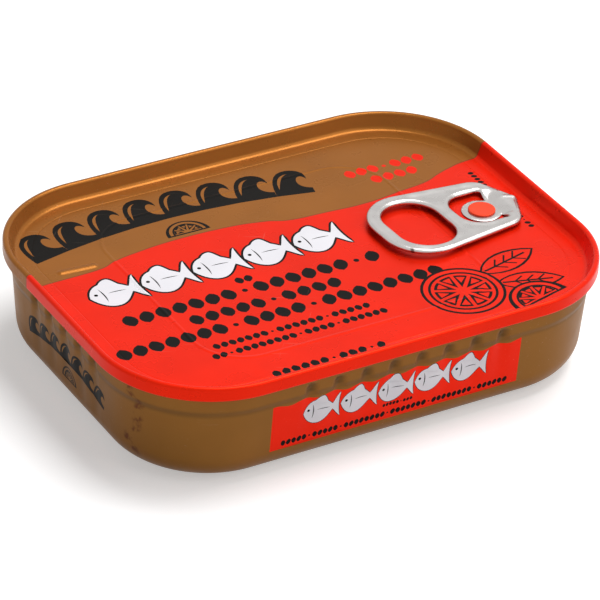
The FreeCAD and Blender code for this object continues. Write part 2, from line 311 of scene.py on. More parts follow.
def fish(length, height, edge):
    """A plain fish swimming left: its outlines, its white body and its details."""
    half = height / 2
    body = motif(
        length, half,
        (0, -0.05),
        ((0.07, 0.60), (0.26, 0.88), (0.46, 0.78)),
        ((0.62, 0.68), (0.72, 0.34), (0.79, 0.17)),
        ((0.86, 0.34), (0.92, 0.74), (1, 0.90)),
        ((0.95, 0.34), (0.95, -0.34), (1, -0.90)),
        ((0.92, -0.74), (0.86, -0.40), (0.79, -0.24)),
        ((0.70, -0.46), (0.60, -0.88), (0.42, -0.96)),
        ((0.22, -1.02), (0.07, -0.62), (0, -0.05)),
    )[:-1]
    fin = motif(
        length, half,
        (0.26, 0.60),
        ((0.34, 0.88), (0.42, 1.06), (0.52, 1.04)),
        ((0.58, 1.02), (0.60, 0.80), (0.68, 0.36)),
    )
    gill = motif(
        length, half,
        (0.25, 0.50),
        ((0.30, 0.20), (0.30, -0.25), (0.24, -0.58)),
        ((0.265, -0.25), (0.265, 0.20), (0.25, 0.50)),
    )[:-1]
    eye = disc(0.14 * length, 0.10 * half, 0.036 * length, 16)
    stripe = motif(
        length, half,
        (0.36, 0.04),
        ((0.48, 0.10), (0.60, 0.06), (0.72, -0.02)),
        ((0.60, -0.01), (0.48, 0.03), (0.36, 0.04)),
    )[:-1]
    outer = [(DARK, grown(fin, edge)), (DARK, grown(body, edge))]
    inner = [(WHITE, fin), (WHITE, body)]
    detail = [(DARK, gill), (DARK, eye), (DARK, stripe)]
    return outer, inner, detail


def citrus(radius, half, line):
    """Line drawing of a cut citrus slice, whole or half, with its wedges."""
    def wedge(start, end, inner, outer):
        middle = (start + end) / 2
        spread = [start + (end - start) * t / 8 for t in range(9)]
        tip = (inner * math.cos(middle), inner * math.sin(middle))
        return [tip] + [(outer * math.cos(a), outer * math.sin(a)) for a in spread]

    sweep = math.pi if half else 2 * math.pi
    steps = 24 if half else 44
    angles = [sweep * i / steps for i in range(steps + (1 if half else 0))]

    def rim(r):
        return [(r * math.cos(a), r * math.sin(a)) for a in angles]

    shapes = []
    rind = (radius, radius - line, radius - 2.6 * line, radius - 3.5 * line)
    for r, colour in zip(rind, (DARK, LACQUER, DARK, LACQUER)):
        drop = 0.0 if r == radius or not half else line
        shapes.append((colour, [(x, y + drop) for x, y in rim(r - drop)]))
    wedges = 5 if half else 10
    turn = sweep / wedges
    lift = 1.1 * line if half else 0.0
    for i in range(wedges):
        gap = 0.10 * turn
        outer = radius - 4.6 * line
        big = wedge(i * turn + gap, (i + 1) * turn - gap, 0.16 * radius, outer)
        small = wedge(i * turn + 2.1 * gap, (i + 1) * turn - 2.1 * gap, 0.36 * radius, outer - line)
        shapes.append((DARK, [(x, y + lift) for x, y in big]))
        shapes.append((LACQUER, [(x, y + lift) for x, y in small]))
    return shapes


def leaf(length, width, line):
    """Line drawing of a leaf with its veins, pointing along +X from its stalk."""
    def blade(grow):
        l, w = length + grow, width / 2 + grow
        top = bezier((-grow, 0), ((0.25 * l, 1.25 * w), (0.7 * l, 1.15 * w), (l, 0)))
        low = bezier((l, 0), ((0.7 * l, -1.15 * w), (0.25 * l, -1.25 * w), (-grow, 0)))
        return top + low[1:-1]

    shapes = [(DARK, blade(line)), (LACQUER, blade(0.0))]
    shapes.append((DARK, bar(0.06 * length, 0, 0.86 * length, 0, 0.8 * line)))
    for t in (0.26, 0.44, 0.62):
        for side in (-1, 1):
            reach = (t + 0.14) * length
            shapes.append((DARK, bar(t * length, 0, reach, side * 0.30 * width, 0.6 * line)))
    return shapes


def bar(x0, y0, x1, y1, width):
    """A straight stroke between two points."""
    length = math.hypot(x1 - x0, y1 - y0)
    nx, ny = -(y1 - y0) / length * width / 2, (x1 - x0) / length * width / 2
    return [(x0 + nx, y0 + ny), (x0 - nx, y0 - ny), (x1 - nx, y1 - ny), (x1 + nx, y1 + ny)]


def pip(height, width, lean):
    """A small leaning leaf shape, standing on the row's foot."""
    w = width / 2
    shift = lean * height
    foot, tip = (0, 0), (shift, height)
    right = ((1.3 * w, 0.18 * height), (1.3 * w + shift, 0.78 * height), tip)
    left = ((shift - 1.3 * w, 0.82 * height), (-1.3 * w, 0.22 * height), foot)
    return bezier(foot, right, left, steps=6)[:-1]


PIP_STOUTNESS = 0.8


def pip_row(x0, x1, y0, y1, colour, seed):
    """A row of small leaf shapes in groups, leaning to and fro, each group closed by a dot."""
    rng = random.Random(seed)
    h = y1 - y0
    pitch = (PIP_STOUTNESS + 0.05) * h
    count = max(int((x1 - x0) / pitch), 2)
    pitch = (x1 - x0) / count
    shapes = []
    left_in_group = rng.randint(3, 8)
    for i in range(count):
        x = x0 + pitch * (i + 0.5)
        left_in_group -= 1
        if left_in_group == 0 and i < count - 1:
            left_in_group = rng.randint(4, 9)
            shapes.append((colour, disc(x, y0 + h / 2, 0.15 * h, 12)))
            continue
        lean = 0.18 if i % 2 else 0.02
        shapes += placed([(colour, pip(h, PIP_STOUTNESS * h, lean))], x - lean * h / 2, y0)
    return shapes


def arched_waves(x0, x1, base, rise, height, count):
    """Wave crests in a row whose base is arched: base at the ends and base + rise in the middle."""
    shapes = []
    middle, half = (x0 + x1) / 2, (x1 - x0) / 2
    pitch = (x1 - x0) / count
    for i in range(count):
        x = x0 + pitch * (i + 0.5)
        t = (x - middle) / half
        slope = math.atan(-2 * rise * t / half)
        y = base + rise * (1 - t * t)
        crest = placed(wave_crest(1.02 * pitch, height), -0.51 * pitch, 0)
        shapes += placed(crest, x, y, slope)
    return sorted(shapes, key=lambda shape: shape[0] != DARK)


def fish_row(x0, x1, middle, height, count, edge):
    """White fish nose to tail. All outlines are painted before any fish."""
    pitch = (x1 - x0) / count
    layers = ([], [], [])
    for i in range(count):
        one = fish(0.985 * pitch, height, edge)
        for layer, shapes in zip(layers, one):
            layer += placed(shapes, x0 + pitch * (i + 0.01), middle)
    return layers[0] + layers[1] + layers[2]


# ---------- can body

BASE_ARC_END = 180 + math.degrees(WALL_TAPER)
FLUTE_FOOT_Z = FLUTE_HEIGHTS[0]
FLUTE_TOP_Z = FLUTE_HEIGHTS[-1]
PRINT_FOOT_Z = 4.6
PRINT_TOP_Z = 15.8
PRINT_COLUMNS = 140
PRINT_ROWS = 26
WALL_DEEPEST_INSET = 4.0
LABEL_WAVE = 0.28
BODY_TOP_LIP = 0.3
HIDDEN_GAP = 0.05
SLOPE_STEP = 0.03
INNER_INSET = CORNER_RADIUS - 0.1


def smooth(t):
    t = np.clip(t, 0.0, 1.0)
    return t * t * (3 - 2 * t)


def hump(distance, half_width):
    """A rounded ridge: 1 on its line, 0 from half_width away."""
    t = np.clip(np.abs(distance) / half_width, 0.0, 1.0)
    return np.cos(t * math.pi / 2) ** 2


def wall_inset(z):
    taper = max(SHOULDER_FOOT_Z - z, 0.0) * math.tan(WALL_TAPER)
    step = SHOULDER_STEP * (1 - smooth((z - SHOULDER_FOOT_Z) / (SHOULDER_TOP_Z - SHOULDER_FOOT_Z)))
    return NECK_INSET + float(step) + taper


def flute_centres(side):
    count, shift = SHORT_SIDE_FLUTES, 0.0
    if side in ("front", "back"):
        count = LONG_SIDE_FLUTES
        shift = LONG_SIDE_FLUTE_SHIFT if side == "front" else -LONG_SIDE_FLUTE_SHIFT
    return [shift + FLUTE_PITCH * (i - (count - 1) / 2) for i in range(count)]


FLUTE_CENTRES = {side: flute_centres(side) for side in ("front", "back", "left", "right")}


def flute_depth(side, place, z):
    if side == "corner" or not FLUTE_FOOT_Z < z < FLUTE_TOP_Z:
        return 0.0
    away = min(abs(place - centre) for centre in FLUTE_CENTRES[side])
    half_width = np.interp(z, FLUTE_HEIGHTS, FLUTE_HALF_WIDTHS)
    return float(np.interp(z, FLUTE_HEIGHTS, FLUTE_DEPTHS) * hump(away, half_width))


def wall_sample(base, out, side, place, z, inset, normal):
    """A wall point and its normal. base is on the seam's outline; normal is the profile's."""
    step = SLOPE_STEP
    depth = flute_depth(side, place, z)
    along = np.array([-out[1], out[0], 0.0])
    outward = np.array([out[0], out[1], 0.0])
    point = np.array([base[0], base[1], 0.0]) - outward * (inset + depth) + np.array([0, 0, z])
    slope_along = (flute_depth(side, place + step, z) - flute_depth(side, place - step, z)) / 2 / step
    slope_up = (flute_depth(side, place, z + step) - flute_depth(side, place, z - step)) / 2 / step
    turned = -normal[0] * outward + np.array([0, 0, normal[1]])
    turned = turned - normal[0] * (slope_along * along + np.array([0, 0, slope_up]))
    return point, turned / np.linalg.norm(turned)


# Painted shade on the can's wall: heights, fade and width of the dark round tops of the flutes
SHADE_FOOT_Z = 15.9
SHADE_TOP_Z = 17.9
SHADE_FADE = 0.9
SHADE_HALF_WIDTH = 1.75
SHADE_FAINT = 0.3


def painted_flute_shade(side, place, z):
    """How much painted shade a wall point gets: full in the round top of a flute, faint further down it,
    from 0 to 1.
    """
    if side == "corner":
        return 0.0
    away = min(abs(place - centre) for centre in FLUTE_CENTRES[side])
    rise = smooth((z - SHADE_FOOT_Z) / SHADE_FADE)
    fall = smooth((z - SHADE_TOP_Z) / SHADE_FADE)
    faint = SHADE_FAINT * smooth((z - 4.5) / 5) * (1 - smooth((z - 15.5) / 1.5))
    return float(hump(away, SHADE_HALF_WIDTH) * rise * (1 - fall) + hump(away, 2.2) * faint)


def body_profile():
    """(inset, height) from the middle of the base, out and up the wall, and in under the lid."""
    bead = [(BASE_BEAD_INSET - BASE_BEAD_HALF_WIDTH * t,
             float(BASE_BEAD_DEPTH * hump(t, 1.0))) for t in np.linspace(-1, 1, 13)]
    foot_z = BASE_RADIUS * (1 + math.sin(math.radians(BASE_ARC_END)))
    arc_centre = (wall_inset(foot_z) + BASE_RADIUS * math.cos(WALL_TAPER), BASE_RADIUS)
    base = arc(arc_centre, BASE_RADIUS, 270, BASE_ARC_END, 20)
    low = np.linspace(foot_z, SHOULDER_FOOT_Z - 1.0, 22)[1:]
    high = np.arange(SHOULDER_FOOT_Z - 0.85, SEAM_FOOT_Z, 0.15)
    wall = [(wall_inset(z), float(z)) for z in list(low) + list(high)]
    lip = NECK_INSET + BODY_TOP_LIP
    floor_z = PANEL_Z - PANEL_THICKNESS - HIDDEN_GAP
    top = [(NECK_INSET, SEAM_FOOT_Z + HIDDEN_GAP), (lip, SEAM_FOOT_Z + HIDDEN_GAP),
           (lip, floor_z), (INNER_INSET, floor_z)]
    return [(INNER_INSET, 0.0)] + bead + base + wall + top


def wavy_label(x0, x1, z0, z1):
    """A label's outline whose top edge dips with the flutes."""
    top = []
    for x in np.linspace(x1, x0, 70):
        top.append((float(x), z1 - LABEL_WAVE * math.cos(2 * math.pi * x / FLUTE_PITCH)))
    return [(x0, z0), (x1, z0)] + top


def long_side_print():
    shapes = [(RED, wavy_label(-27.2, 26.4, 5.2, 15.1))]
    shapes += fish_row(-20.6, 19.2, 11.9, 5.9, 5, 0.12)
    shapes += pip_row(-3.4, 3.2, 8.0, 8.8, DARK, 11)
    shapes += pip_row(-25.0, 24.2, 5.8, 7.1, DARK, 12)
    return shapes


def short_side_print():
    shapes = arched_waves(-15.2, 15.2, 8.2, 2.0, 3.9, 7)
    shapes += placed(citrus(2.9, True, 0.26), 1.0, 6.3)
    return shapes


SIDE_PRINTS = {
    "front": long_side_print(),
    "back": long_side_print(),
    "left": short_side_print(),
    "right": short_side_print(),
}


def build_body(materials):
    profile = body_profile()
    turned = profile_normals(profile)
    count = len(STATIONS)
    points, normals, faces, inks, painted_shade_values = [], [], [], [], []
    for (inset, z), normal in zip(profile, turned):
        on_wall = inset < BASE_BEAD_INSET / 2 and FLUTE_FOOT_Z < z < FLUTE_TOP_Z
        for base, out, side, place in STATIONS:
            kind = side if on_wall else "corner"
            point, direction = wall_sample(base, out, kind, place, z, inset, normal)
            points.append(point)
            normals.append(direction)
            painted_shade_values.append(painted_flute_shade(kind, place, z))
    heights = [z for _, z in profile]
    wall_rows = [k for k, (inset, z) in enumerate(profile)
                 if inset < WALL_DEEPEST_INSET and PRINT_FOOT_Z < z < PRINT_TOP_Z]
    low_row, high_row = wall_rows[0], wall_rows[-1]
    spans = [side_range(side) for side in SIDE_PRINTS]
    for k in range(len(profile) - 1):
        for i, face in enumerate(strip(k, count)):
            in_patch = low_row <= k < high_row and any(a <= i < b for a, b in spans)
            if not in_patch:
                faces.append(face)
                inks.append(LACQUER)
    for side, shapes in SIDE_PRINTS.items():
        first, last = side_range(side)
        base, out, _, start = STATIONS[first]
        along = np.array([-out[1], out[0]])
        loop = [(low_row, i) for i in range(first, last)]
        loop += [(k, last) for k in range(low_row, high_row)]
        loop += [(high_row, i) for i in range(last, first, -1)]
        loop += [(k, first) for k in range(high_row, low_row, -1)]
        outline = [(STATIONS[i][3], heights[k]) for k, i in loop]
        width = STATIONS[last][3] - start
        tall = heights[high_row] - heights[low_row]
        spare = [(start + width * a / PRINT_COLUMNS, heights[low_row] + tall * b / PRINT_ROWS)
                 for a in range(1, PRINT_COLUMNS) for b in range(1, PRINT_ROWS)]
        found, triangles, regions, origins = cut_regions(outline, spare, shapes)
        numbers = []
        for vertex, origin in zip(found, origins):
            rim = [number for number in origin if number < len(loop)]
            if rim:
                k, i = loop[rim[0]]
                numbers.append(k * count + i)
                continue
            place, z = vertex
            spot = np.array(base) + along * (place - start)
            tilt = (-math.cos(WALL_TAPER), -math.sin(WALL_TAPER))
            point, direction = wall_sample(spot, out, side, place, z, wall_inset(z), tilt)
            numbers.append(len(points))
            points.append(point)
            normals.append(direction)
            painted_shade_values.append(painted_flute_shade(side, place, z))
        faces += [tuple(numbers[v] for v in triangle) for triangle in triangles]
        inks += regions
    top_row = (len(profile) - 1) * count
    faces.append(tuple(range(count))[::-1])
    faces.append(tuple(range(top_row, top_row + count)))
    inks += [LACQUER, LACQUER]
    piece = add_piece("can_body", points, faces, materials, inks, normals)
    # Painted shade for the flute tops, handed to the can's lacquer as a point attribute
    shade = piece.data.attributes.new("painted_flute_shade", "FLOAT", "POINT")
    shade.data.foreach_set("value", painted_shade_values)
    return piece


# ---------- lid

def rounded_distance(x, y, centre, half, radius):
    """Signed distance outside a rounded rectangle."""
    qx = np.abs(np.asarray(x) - centre[0]) - (half[0] - radius)
    qy = np.abs(np.asarray(y) - centre[1]) - (half[1] - radius)
    outside = np.hypot(np.maximum(qx, 0), np.maximum(qy, 0))
    return outside + np.minimum(np.maximum(qx, qy), 0) - radius


PANEL_SLOPE_STEP = 0.02
BEAD_CORNER_STEPS = 16
DASH_END_STEPS = 12
BEAD_CENTRE = ((PANEL_BEAD_LEFT + PANEL_BEAD_RIGHT) / 2, 0.0)
BEAD_HALF = ((PANEL_BEAD_RIGHT - PANEL_BEAD_LEFT) / 2, PANEL_BEAD_HALF_WIDTH)


def dash_distance(x, y):
    dx, dy = np.asarray(x) - DASH_X, np.asarray(y) - DASH_Y
    along = dx * math.cos(DASH_TURN) + dy * math.sin(DASH_TURN)
    across = -dx * math.sin(DASH_TURN) + dy * math.cos(DASH_TURN)
    reach = DASH_LENGTH / 2 - DASH_RADIUS
    return np.hypot(np.maximum(np.abs(along) - reach, 0), across)


def panel_height(x, y):
    rim = -rounded_distance(x, y, (0, 0), (HALF_LENGTH, HALF_WIDTH), CORNER_RADIUS)
    score = -SCORE_DEPTH * hump(rim - SCORE_INSET, SCORE_HALF_WIDTH)
    line = rounded_distance(x, y, BEAD_CENTRE, BEAD_HALF, PANEL_BEAD_CORNER)
    bead = PANEL_BEAD_HEIGHT * hump(line, PANEL_BEAD_RIDGE)
    dash = DASH_HEIGHT * hump(dash_distance(x, y), DASH_RADIUS)
    return PANEL_Z + score + bead + dash


def bead_loop(grow):
    radius = PANEL_BEAD_CORNER + grow
    points = []
    for number, (sign_x, sign_y) in enumerate(((1, 1), (-1, 1), (-1, -1), (1, -1))):
        corner = (BEAD_CENTRE[0] + sign_x * (BEAD_HALF[0] - PANEL_BEAD_CORNER),
                  sign_y * (BEAD_HALF[1] - PANEL_BEAD_CORNER))
        for step in range(BEAD_CORNER_STEPS + 1):
            angle = math.pi / 2 * (number + step / BEAD_CORNER_STEPS)
            points.append((corner[0] + radius * math.cos(angle), corner[1] + radius * math.sin(angle)))
    return points


def dash_loop(radius):
    reach = DASH_LENGTH / 2 - DASH_RADIUS
    c, s = math.cos(DASH_TURN), math.sin(DASH_TURN)
    points = []
    for end in (1, -1):
        for step in range(DASH_END_STEPS + 1):
            angle = math.pi * step / DASH_END_STEPS - math.pi / 2 + (0 if end > 0 else math.pi)
            px, py = end * reach + radius * math.cos(angle), radius * math.sin(angle)
            points.append((DASH_X + c * px - s * py, DASH_Y + s * px + c * py))
    return points


def panel_seams():
    seams = [[tuple(p) for p in ring_at(SCORE_INSET + SCORE_HALF_WIDTH * t)[::2]]
             for t in (-1, -0.5, 0, 0.5, 1)]
    seams += [bead_loop(PANEL_BEAD_RIDGE * t) for t in (-1, -0.7, -0.35, 0, 0.35, 0.7, 1)]
    seams += [dash_loop(DASH_RADIUS * t) for t in (1, 0.85, 0.7, 0.5, 0.3, 0.12)]
    return seams


# Rows of leaf shapes on the panel, each by its left, right, foot and top
RED_ROWS = ((22.8, 41.0, 21.0, 24.0), (26.6, 37.4, 17.2, 20.2))
DARK_ROWS = (
    (-15.8, -12.0, -3.6, -1.3), (-41.7, 14.0, -7.9, -4.0), (-30.3, 2.6, -12.8, -9.2),
    (-48.0, 22.2, -17.6, -13.8), (-30.6, 3.1, -21.6, -19.7), (-32.3, 5.1, -24.6, -22.7),
    (-25.3, -1.1, -34.6, -32.4),
)


def pip_rows(rows, colour, seed):
    """Rows of leaf shapes, where each row has its own seed."""
    return [shape for n, row in enumerate(rows) for shape in pip_row(*row, colour, seed + n)]


def panel_print():
    """The lid's print, in painting order, on the panel seen from above."""
    shapes = arched_waves(-46.4, 14.6, 19.6, 3.8, 9.2, 8)
    shapes += placed(citrus(4.6, True, 0.4), -15.0, 16.9)
    shapes += pip_rows(RED_ROWS, RED, 21)
    shapes += fish_row(-43.2, 11.8, 4.3, 9.2, 5, 0.45)
    shapes += pip_rows(DARK_ROWS, DARK, 23)
    shapes += placed(leaf(13.5, 6.0, 0.6), 28.0, -20.5, math.radians(14))
    shapes += placed(leaf(12.5, 5.6, 0.6), 29.0, -25.0, math.radians(-16))
    shapes += placed(citrus(6.6, True, 0.52), 33.5, -33.6, math.radians(14))
    shapes += placed(citrus(8.2, False, 0.58), 21.4, -24.4, 0.2)
    shapes += placed(pip_row(0, 8.8, 0, 1.3, DARK, 30), 46.6, 4.2, math.pi / 2)
    shapes += placed(pip_row(0, 6.6, 0, 1.3, DARK, 31), 46.6, -10.6, math.pi / 2)
    return shapes


def lid_profile():
    """(inset, height) from under the panel, out round the seam and down to the panel's edge."""
    under_z = PANEL_Z - PANEL_THICKNESS
    inner = NECK_INSET + BODY_TOP_LIP + HIDDEN_GAP
    crest_z = HEIGHT - SEAM_CREST_RADIUS
    foot = arc((SEAM_FOOT_RADIUS, SEAM_FOOT_Z + SEAM_FOOT_RADIUS), SEAM_FOOT_RADIUS, 270, 180, 6)
    outer = arc((SEAM_CREST_RADIUS, crest_z), SEAM_CREST_RADIUS, 180, 90, 10)
    crest_x = SEAM_THICKNESS - SEAM_CREST_RADIUS
    inner_crest = arc((crest_x, crest_z), SEAM_CREST_RADIUS, 90, 8, 10)
    fillet_centre = (PANEL_INSET, PANEL_Z + CHUCK_WALL_FILLET)
    fillet = arc(fillet_centre, CHUCK_WALL_FILLET, 196, 270, 9)
    wall = []
    for t in np.linspace(0, 1, 8)[1:-1]:
        a, b = np.array(inner_crest[-1]), np.array(fillet[0])
        wall.append(tuple(a + (b - a) * t))
    side = [(0.0, float(z)) for z in np.linspace(SEAM_FOOT_Z + SEAM_FOOT_RADIUS, crest_z, 8)[1:-1]]
    under = [(INNER_INSET, under_z), (inner, under_z), (inner, SEAM_FOOT_Z)]
    return under + foot + side + outer + inner_crest + wall + fillet


def build_lid(materials):
    profile = lid_profile()
    turned = profile_normals(profile)
    turned[-1] = (0, 1)
    count = len(STATIONS)
    points, normals = [], []
    for (inset, z), normal in zip(profile, turned):
        ring = ring_at(inset)
        for spot, out in zip(ring, OUTWARD):
            points.append((spot[0], spot[1], z))
            normals.append((-normal[0] * out[0], -normal[0] * out[1], normal[1]))
    faces = [face for k in range(len(profile) - 1) for face in strip(k, count)]
    inks = [LACQUER] * len(faces)
    faces.append(tuple(range(count))[::-1])
    inks.append(LACQUER)
    last = (len(profile) - 1) * count
    outline = [tuple(p) for p in ring_at(PANEL_INSET)]
    found, triangles, regions, origins = cut_regions(outline, [], panel_print(), panel_seams())
    xs = np.array([v[0] for v in found])
    ys = np.array([v[1] for v in found])
    zs = panel_height(xs, ys)
    step = PANEL_SLOPE_STEP
    slope_x = (panel_height(xs + step, ys) - panel_height(xs - step, ys)) / 2 / step
    slope_y = (panel_height(xs, ys + step) - panel_height(xs, ys - step)) / 2 / step
    numbers = []
    for n, origin in enumerate(origins):
        rim = [number for number in origin if number < count]
        if rim:
            numbers.append(last + rim[0])
            continue
        direction = np.array([-slope_x[n], -slope_y[n], 1.0])
        numbers.append(len(points))
        points.append((xs[n], ys[n], zs[n]))
        normals.append(direction / np.linalg.norm(direction))
    faces += [tuple(numbers[v] for v in triangle) for triangle in triangles]
    inks += regions
    return add_piece("lid_end", points, faces, materials, inks, normals)


def build_rivet(material):
    """The button that holds the tab, turned from a profile of (radius, height)."""
    top = RIVET_HEAD_TOP
    edge = RIVET_EDGE_RADIUS
    profile = [(0.0, top - RIVET_DISH), (1.1, top - RIVET_DISH), (1.6, top - RIVET_DISH / 2), (2.0, top)]
    profile += [(RIVET_HEAD_RADIUS - edge * (1 - math.sin(a)), top - edge * (1 - math.cos(a)))
                for a in np.linspace(0, math.pi / 2, 7)]
    under = RIVET_HEAD_BASE + 0.02
    profile += [(RIVET_HEAD_RADIUS, under), (RIVET_STEM_RADIUS, under)]
    profile += [(RIVET_STEM_RADIUS, 0.0), (0.0, 0.0)]
    steps = 64
    points, faces = [], []
    for radius, z in profile:
        for i in range(steps):
            angle = 2 * math.pi * i / steps
            x, y = RIVET_X + radius * math.cos(angle), RIVET_Y + radius * math.sin(angle)
            points.append((x, y, PANEL_Z + z))
    for k in range(len(profile) - 1):
        for i in range(steps):
            j = (i + 1) % steps
            faces.append((k * steps + i, (k + 1) * steps + i, (k + 1) * steps + j, k * steps + j))
    piece = add_piece("rivet_button", points, faces, [material])
    merge_close(piece.data)
    return piece


# Tab, in its own frame: the rivet's axis at x = 0, the nose towards +X, the panel at z = 0.
# An outline's corners are (x, y, radius).
TAB_OUTLINE = ((-23.7, -11.9, 8.7), (4.2, -8.2, 4.4), (8.4, 0.2, 2.4), (4.2, 8.8, 4.4), (-23.7, 12.2, 8.7))
FINGER_HOLE = ((-20.8, -8.35, 5.8), (-8.9, -8.35, 5.8), (-8.9, 8.35, 5.8), (-20.8, 8.35, 5.8))
SLOT_LEFT = -6.1
SLOT_HALF_WIDTH = 5.6
SLOT_CORNER = 4.3
SLOT_END_X = 2.9
SLOT_END_RADIUS = 0.8
TONGUE_RADIUS = 4.0
TONGUE_HALF_NECK = 2.9
TONGUE_TOP = 0.36
TAB_GAP = 0.28
TAB_TOP = 1.5
TAB_ROLL = 0.75
TAB_WEB_DIP = 0.08
TAB_TILT = math.radians(1.0)
TAB_TURN = math.radians(2.3)
TAB_NOSE = 8.25
TAB_GRID = 0.35
POLYGON_CORNER_STEPS = 14
POLYGON_SPACING = 0.6
SLOT_SPACING = 0.4
INSIDE_MARGIN = 0.05
NOSE_DROP = 0.22
NOSE_DROP_START = 5.2
NOSE_DROP_RUN = 3.6
CREASE_HEIGHT = 0.16
CREASE_HALF_WIDTH = 0.8
CREASE_SLANT = 0.35
NECK_START = 2.0
BEND_START = 2.7
BEND_RUN = 2.9


def rounded_polygon(corners):
    """Points round a polygon whose corners are (x, y, radius), in the order given."""
    points = []
    count = len(corners)
    for i, (x, y, radius) in enumerate(corners):
        corner = np.array([x, y])
        before = np.array(corners[i - 1][:2]) - corner
        after = np.array(corners[(i + 1) % count][:2]) - corner
        before /= np.linalg.norm(before)
        after /= np.linalg.norm(after)
        half = math.acos(float(np.clip(before @ after, -1, 1))) / 2
        middle = before + after
        centre = corner + middle / np.linalg.norm(middle) * radius / math.sin(half)
        start = corner + before * radius / math.tan(half) - centre
        end = corner + after * radius / math.tan(half) - centre
        first = math.atan2(start[1], start[0])
        turn = (math.atan2(end[1], end[0]) - first + math.pi) % (2 * math.pi) - math.pi
        for k in range(POLYGON_CORNER_STEPS + 1):
            angle = first + turn * k / POLYGON_CORNER_STEPS
            points.append(tuple(centre + radius * np.array([math.cos(angle), math.sin(angle)])))
    return filled_in(points, POLYGON_SPACING)


def arc_points(centre, radius, start, end, steps):
    angles = np.linspace(start, end, steps + 1)
    return [(centre[0] + radius * math.cos(a), centre[1] + radius * math.sin(a)) for a in angles]


def slot_outline():
    """The C-shaped slot round the tongue, anticlockwise."""
    quarter = math.pi / 2
    end_x, end_y = SLOT_END_X - SLOT_END_RADIUS, SLOT_HALF_WIDTH - SLOT_END_RADIUS
    left_x, left_y = SLOT_LEFT + SLOT_CORNER, SLOT_HALF_WIDTH - SLOT_CORNER
    reach = math.asin(TONGUE_HALF_NECK / TONGUE_RADIUS)
    points = arc_points((end_x, end_y), SLOT_END_RADIUS, 0, quarter, 6)
    points += arc_points((left_x, left_y), SLOT_CORNER, quarter, 2 * quarter, 16)
    points += arc_points((left_x, -left_y), SLOT_CORNER, 2 * quarter, 3 * quarter, 16)
    points += arc_points((end_x, -end_y), SLOT_END_RADIUS, 3 * quarter, 4 * quarter, 6)
    points += arc_points((0, 0), TONGUE_RADIUS, -reach, reach - 4 * quarter, 56)
    return filled_in(points, SLOT_SPACING)


def filled_in(points, spacing):
    """The loop with points added along its longer stretches."""
    filled = []
    for a, b in zip(points, points[1:] + points[:1]):
        parts = max(int(math.dist(a, b) / spacing), 1)
        for k in range(parts):
            filled.append((a[0] + (b[0] - a[0]) * k / parts, a[1] + (b[1] - a[1]) * k / parts))
    return filled


def tongue_share(x, y):
    """1 on the round tongue under the rivet, 0 on the frame, and between in the bent neck."""
    x, y = np.asarray(x, float), np.abs(np.asarray(y, float))
    side = smooth((y - TONGUE_HALF_NECK) / 2.2)
    fore = smooth((x - BEND_START) / BEND_RUN)
    on_tongue = np.hypot(x, y) < (TONGUE_RADIUS + SLOT_HALF_WIDTH) / 2
    neck = (1 - fore) * (1 - side * smooth(x - NECK_START))
    frame_share = np.where(x > NECK_START, (1 - fore) * (1 - side), 0.0)
    return np.where(on_tongue, neck, frame_share)


def tab_levels(x, y):
    """Top and underside of the tab, before its edges are rolled."""
    x, y = np.asarray(x), np.asarray(y)
    share = tongue_share(x, y)
    outer = np.asarray(edge_distance(x, y))
    dip = TAB_WEB_DIP * smooth((outer - 0.9) / 0.7) * (1 - share)
    nose = smooth((x - NOSE_DROP_START) / NOSE_DROP_RUN)
    off_crease = y - 0.9 + CREASE_SLANT * (x - 6)
    crease = CREASE_HEIGHT * hump(off_crease, CREASE_HALF_WIDTH) * smooth((x - 4.0) / 2.5)
    tilt = (TAB_NOSE - x) * math.tan(TAB_TILT) * (1 - share)
    top = TAB_TOP * (1 - share) + TONGUE_TOP * share - dip - NOSE_DROP * nose + crease + tilt
    low = TAB_GAP * (1 - share) + tilt
    return top, low


def edge_distance(x, y):
    """Rough distance from the nearest edge of the tab's frame, from its own corners."""
    x, y = np.asarray(x, float), np.abs(np.asarray(y, float))
    side = TAB_OUTLINE[0], TAB_OUTLINE[1]
    slope = (side[0][1] - side[1][1]) / (side[1][0] - side[0][0])
    outer = -side[1][1] + slope * (x - side[1][0]) - y
    hole = FINGER_HOLE
    centre = ((hole[0][0] + hole[1][0]) / 2, 0.0)
    half = ((hole[1][0] - hole[0][0]) / 2, -hole[0][1])
    finger = rounded_distance(x, y, centre, half, hole[0][2])
    slot_centre = ((SLOT_LEFT + SLOT_END_X) / 2, 0.0)
    slot_half = ((SLOT_END_X - SLOT_LEFT) / 2, SLOT_HALF_WIDTH)
    slot = rounded_distance(x, y, slot_centre, slot_half, SLOT_CORNER)
    return np.minimum(np.minimum(outer, finger), np.abs(slot))


